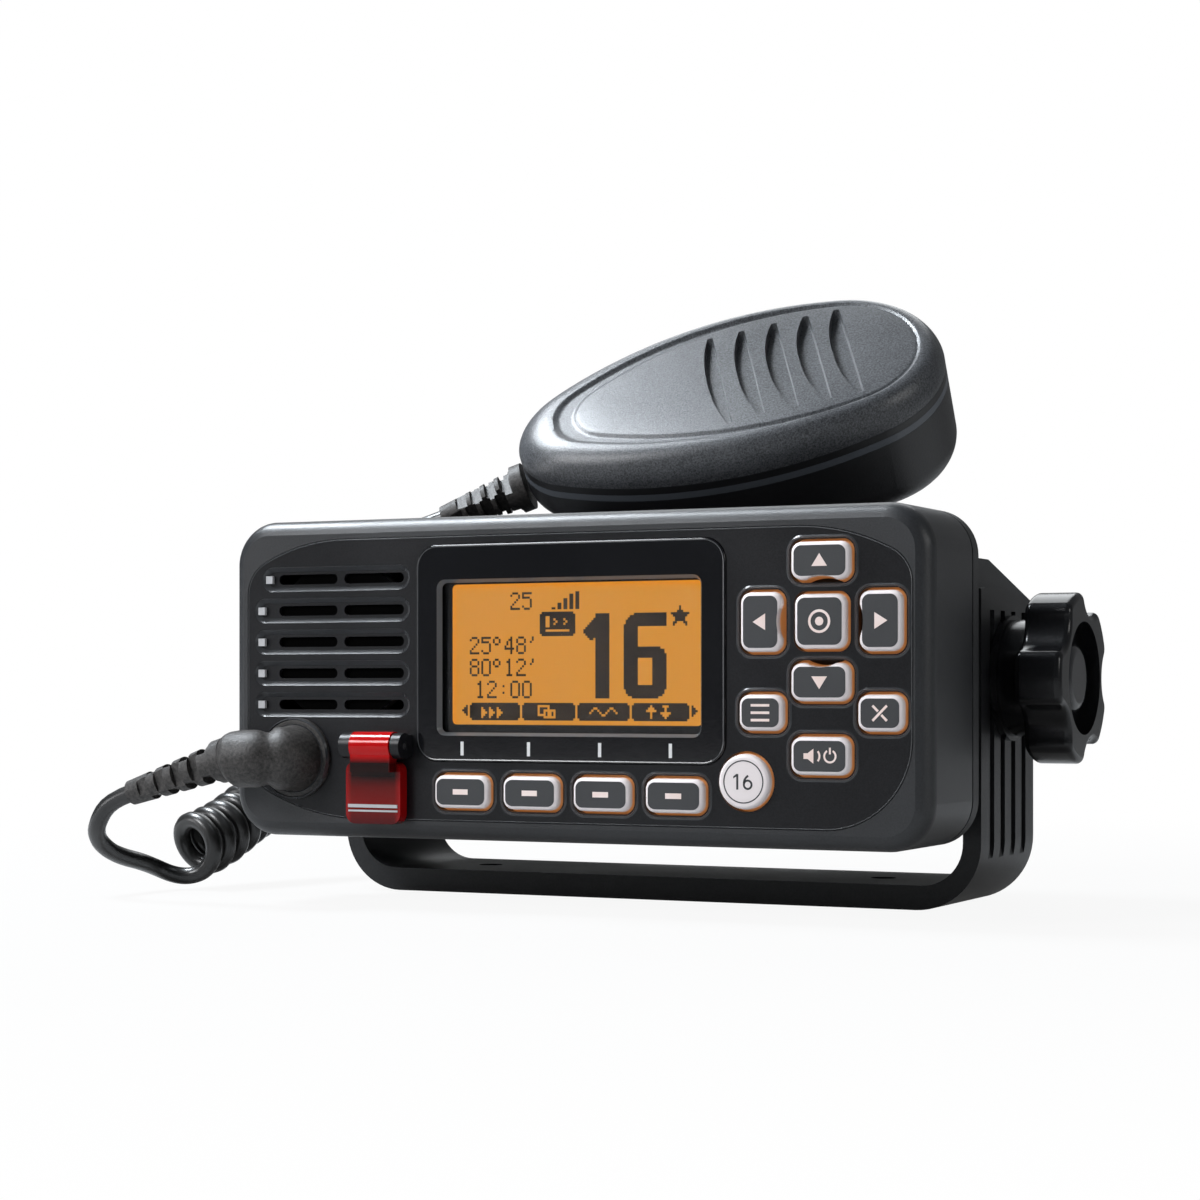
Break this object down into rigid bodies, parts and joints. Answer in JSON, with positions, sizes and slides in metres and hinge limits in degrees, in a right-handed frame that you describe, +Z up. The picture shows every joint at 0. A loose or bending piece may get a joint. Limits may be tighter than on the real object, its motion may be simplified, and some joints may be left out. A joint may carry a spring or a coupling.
{
  "type": "vhf marine radio",
  "caption": "Fixed-mount VHF marine radio in a U bracket with two lobed side knobs; a hand microphone on a curly cord lies on top.",
  "frame": {"origin": "on the table or shelf, centre of the bracket's flat base, straight below the knobs' axis", "axes": "+X to the right of someone facing the display, +Y away from them towards the rear sockets, +Z up"},
  "size_m": [0.2443, 0.1466, 0.1561],
  "materials": {
    "bracket_plastic": "moulded, fine texture",
    "bezel_plastic": "moulded, fine texture",
    "panel_plastic": "satin black",
    "seal_rubber": "matt",
    "chassis_metal": "matt black paint on a casting",
    "display_gloss": "polished",
    "display_glass": "polished",
    "lcd_amber": "backlit amber",
    "board": "circuit board",
    "key_plastic": "translucent body with charcoal caps",
    "distress_red": "translucent red",
    "steel": "brushed",
    "speaker_cloth": "woven",
    "speaker_metal": "painted",
    "boot_rubber": "matt",
    "brass": "turned",
    "socket_metal": "nickel plated",
    "knob_rubber": "moulded, satin",
    "knob_cap": "moulded",
    "mic_plastic": "satin black",
    "mic_strip": "satin grey-blue",
    "mic_key_rubber": "matt",
    "cord_rubber": "glossy"
  },
  "bodies": {
    "bracket": {"mounting_bracket": "bracket_plastic"},
    "radio": {"front_bezel": "bezel_plastic", "front_panel": "panel_plastic", "body_gasket": "seal_rubber", "rear_chassis": "chassis_metal", "display_frame": "display_gloss", "display_lens": "display_glass", "lcd_module": "lcd_amber", "control_board": "board", "keypad_rubber": "seal_rubber", "distress_hinge_pin": "steel", "speaker_cloth": "speaker_cloth", "loudspeaker": "speaker_metal", "cord_gland": "boot_rubber", "gland_nut": "brass", "elbow_boot": "boot_rubber", "front_relief": "boot_rubber", "main_board": "board", "rear_screws": "steel", "antenna_socket": "socket_metal", "power_gland": "seal_rubber", "knob_inserts": "brass", "arm_washers": "seal_rubber", "cord_lead": "cord_rubber", "coil_cord": "cord_rubber", "mic_lead": "cord_rubber"},
    "left_washer": {"left_washer": "knob_rubber"},
    "left_knob": {"left_knob": "knob_rubber", "left_knob_screw": "steel", "left_knob_cap": "knob_cap"},
    "right_washer": {"right_washer": "knob_rubber"},
    "right_knob": {"right_knob": "knob_rubber", "right_knob_screw": "steel", "right_knob_cap": "knob_cap"},
    "soft_key_1": {"soft_key_1": "key_plastic"},
    "soft_key_2": {"soft_key_2": "key_plastic"},
    "soft_key_3": {"soft_key_3": "key_plastic"},
    "soft_key_4": {"soft_key_4": "key_plastic"},
    "channel_up_key": {"channel_up_key": "key_plastic"},
    "channel_down_key": {"channel_down_key": "key_plastic"},
    "left_key": {"left_key": "key_plastic"},
    "right_key": {"right_key": "key_plastic"},
    "enter_key": {"enter_key": "key_plastic"},
    "menu_key": {"menu_key": "key_plastic"},
    "clear_key": {"clear_key": "key_plastic"},
    "volume_key": {"volume_key": "key_plastic"},
    "channel_16_key": {"channel_16_key": "key_plastic"},
    "distress_cover": {"distress_cover": "distress_red"},
    "distress_key": {"distress_key": "distress_red"},
    "microphone": {"mic_rear_shell": "mic_plastic", "mic_front_shell": "mic_plastic", "mic_side_strip": "mic_strip", "mic_board": "board", "mic_element": "socket_metal", "mic_hanger_stud": "socket_metal", "mic_relief": "boot_rubber"},
    "talk_switch": {"talk_switch": "mic_key_rubber"},
    "mic_up_key": {"mic_up_key": "mic_key_rubber"},
    "mic_down_key": {"mic_down_key": "mic_key_rubber"},
    "mic_power_key": {"mic_power_key": "mic_key_rubber"}
  },
  "joints": [
    {"name": "radio_tilt", "type": "hinge", "parent": "bracket", "child": "radio", "pos_m": [0, 0, 0.0564], "axis": [1, 0, 0], "range_deg": [-16, 14]},
    {"name": "left_knob_back_off", "type": "slide", "parent": "radio", "child": "left_washer", "axis": [-1, 0, 0], "range_m": [0, 0.0021]},
    {"name": "left_knob_turn", "type": "hinge", "parent": "left_washer", "child": "left_knob", "pos_m": [-0.0891, 0, 0.0564], "axis": [-1, 0, 0], "range_deg": [0, 720]},
    {"name": "right_knob_back_off", "type": "slide", "parent": "radio", "child": "right_washer", "axis": [1, 0, 0], "range_m": [0, 0.0021]},
    {"name": "right_knob_turn", "type": "hinge", "parent": "right_washer", "child": "right_knob", "pos_m": [0.0891, 0, 0.0564], "axis": [1, 0, 0], "range_deg": [0, 720]},
    {"name": "soft_key_1_press", "type": "slide", "parent": "radio", "child": "soft_key_1", "axis": [0, 1, 0], "range_m": [0, 0.0008], "stiffness_N_per_m": 800},
    {"name": "soft_key_2_press", "type": "slide", "parent": "radio", "child": "soft_key_2", "axis": [0, 1, 0], "range_m": [0, 0.0008], "stiffness_N_per_m": 800},
    {"name": "soft_key_3_press", "type": "slide", "parent": "radio", "child": "soft_key_3", "axis": [0, 1, 0], "range_m": [0, 0.0008], "stiffness_N_per_m": 800},
    {"name": "soft_key_4_press", "type": "slide", "parent": "radio", "child": "soft_key_4", "axis": [0, 1, 0], "range_m": [0, 0.0008], "stiffness_N_per_m": 800},
    {"name": "channel_up_key_press", "type": "slide", "parent": "radio", "child": "channel_up_key", "axis": [0, 1, 0], "range_m": [0, 0.0008], "stiffness_N_per_m": 800},
    {"name": "channel_down_key_press", "type": "slide", "parent": "radio", "child": "channel_down_key", "axis": [0, 1, 0], "range_m": [0, 0.0008], "stiffness_N_per_m": 800},
    {"name": "left_key_press", "type": "slide", "parent": "radio", "child": "left_key", "axis": [0, 1, 0], "range_m": [0, 0.0008], "stiffness_N_per_m": 800},
    {"name": "right_key_press", "type": "slide", "parent": "radio", "child": "right_key", "axis": [0, 1, 0], "range_m": [0, 0.0008], "stiffness_N_per_m": 800},
    {"name": "enter_key_press", "type": "slide", "parent": "radio", "child": "enter_key", "axis": [0, 1, 0], "range_m": [0, 0.0008], "stiffness_N_per_m": 800},
    {"name": "menu_key_press", "type": "slide", "parent": "radio", "child": "menu_key", "axis": [0, 1, 0], "range_m": [0, 0.0008], "stiffness_N_per_m": 800},
    {"name": "clear_key_press", "type": "slide", "parent": "radio", "child": "clear_key", "axis": [0, 1, 0], "range_m": [0, 0.0008], "stiffness_N_per_m": 800},
    {"name": "volume_key_press", "type": "slide", "parent": "radio", "child": "volume_key", "axis": [0, 1, 0], "range_m": [0, 0.0008], "stiffness_N_per_m": 800},
    {"name": "channel_16_key_press", "type": "slide", "parent": "radio", "child": "channel_16_key", "axis": [0, 1, 0], "range_m": [0, 0.0008], "stiffness_N_per_m": 800},
    {"name": "distress_cover_lift", "type": "hinge", "parent": "radio", "child": "distress_cover", "pos_m": [-0.0494, -0.0738, 0.0398], "axis": [-1, 0, 0], "range_deg": [0, 105], "stiffness_Nm_per_rad": 0.004},
    {"name": "distress_key_press", "type": "slide", "parent": "radio", "child": "distress_key", "axis": [0, 1, 0], "range_m": [0, 0.0008], "stiffness_N_per_m": 800},
    {"name": "microphone_lift_off", "type": "slide", "parent": "radio", "child": "microphone", "axis": [0, 0, 1], "range_m": [0, 0.12]},
    {"name": "talk_switch_press", "type": "slide", "parent": "microphone", "child": "talk_switch", "axis": [0.42, -0.6513, -0.632], "range_m": [0, 0.0015], "stiffness_N_per_m": 800},
    {"name": "mic_up_key_press", "type": "slide", "parent": "microphone", "child": "mic_up_key", "axis": [0.42, -0.6513, -0.632], "range_m": [0, 0.0006], "stiffness_N_per_m": 800},
    {"name": "mic_down_key_press", "type": "slide", "parent": "microphone", "child": "mic_down_key", "axis": [0.42, -0.6513, -0.632], "range_m": [0, 0.0006], "stiffness_N_per_m": 800},
    {"name": "mic_power_key_press", "type": "slide", "parent": "microphone", "child": "mic_power_key", "axis": [0.42, -0.6513, -0.632], "range_m": [0, 0.0006], "stiffness_N_per_m": 800}
  ],
  "couplings": [
    {"joint": "left_knob_back_off", "follows": "left_knob_turn", "m_per_rad": 0.00015915},
    {"joint": "right_knob_back_off", "follows": "right_knob_turn", "m_per_rad": 0.00015915}
  ]
}
